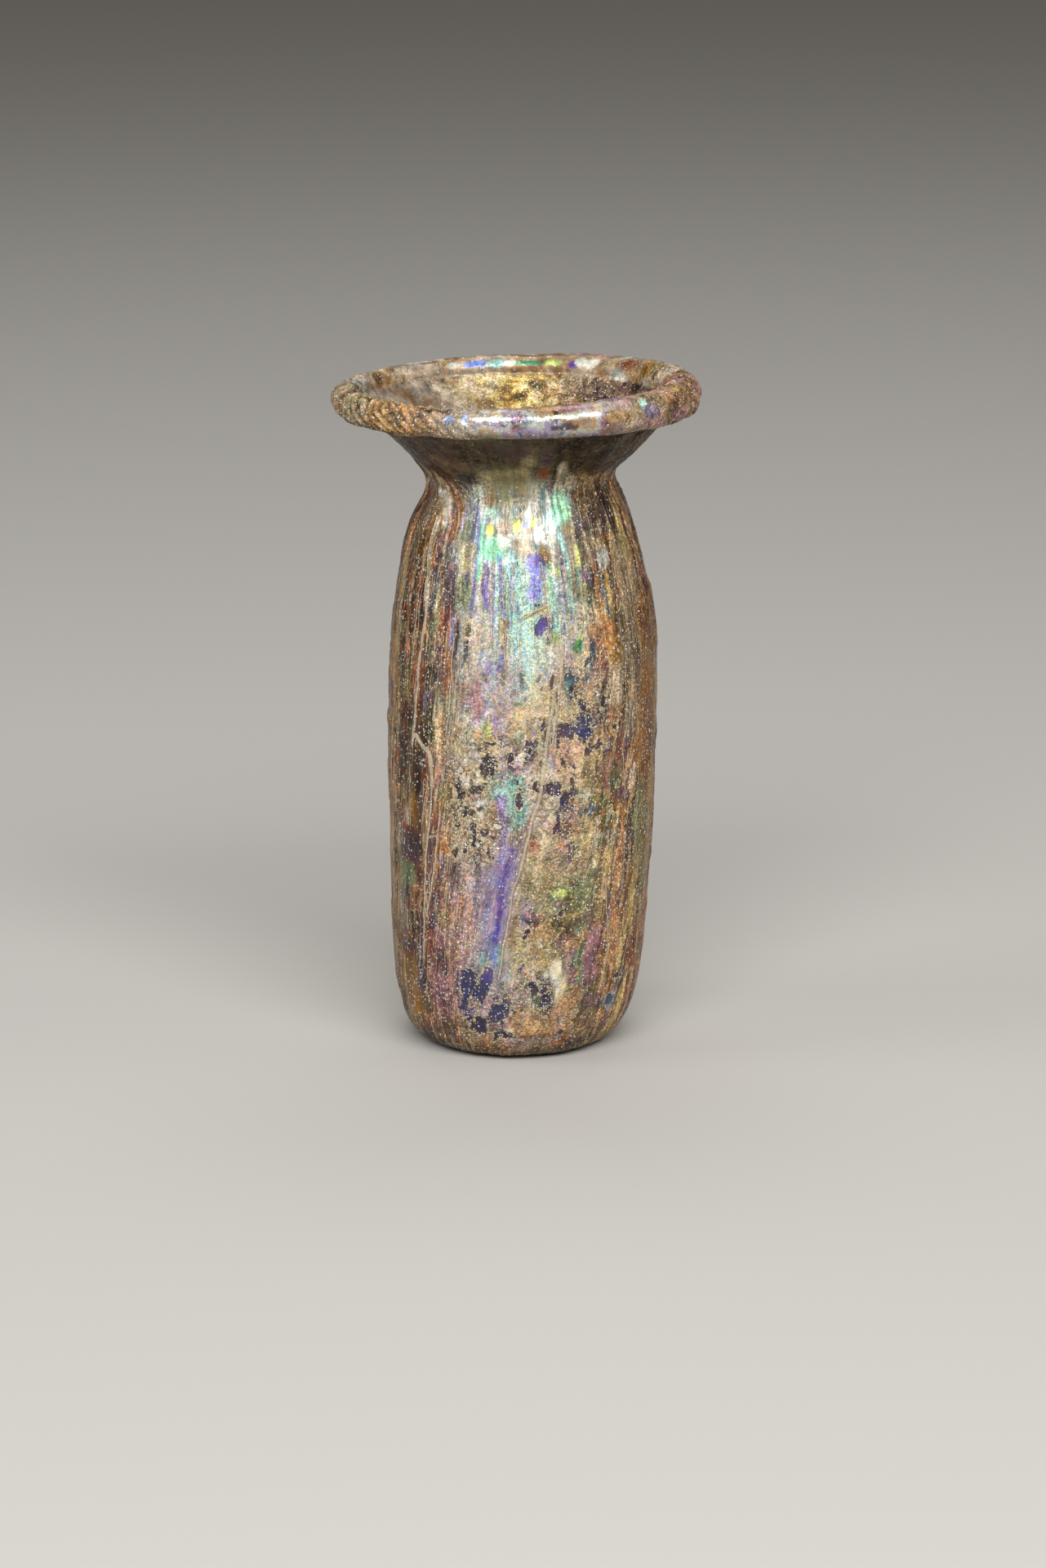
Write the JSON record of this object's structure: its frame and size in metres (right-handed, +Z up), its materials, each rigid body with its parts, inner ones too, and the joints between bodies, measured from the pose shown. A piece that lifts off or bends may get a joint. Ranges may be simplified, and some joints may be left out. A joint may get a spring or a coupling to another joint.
{
  "type": "glass unguentarium",
  "caption": "Small free-blown Roman glass flask with a barrel body, pinched neck, wide funnel mouth and rolled rim, weathered to an iridescent crust.",
  "frame": {"origin": "centre of the underside, on the surface that the flask stands on", "axes": "+Z up along the vessel, +X towards the thicker side of the rolled rim, -Y the side with the brightest iridescence"},
  "size_m": [0.051, 0.051, 0.0958],
  "materials": {
    "weathered_glass": "opaque iridescent weathering crust, pearly brown and gold with violet and blue patches, glossy on the rim and pitted on the body"
  },
  "bodies": {
    "root": {"flask": "weathered_glass"}
  },
  "joints": []
}
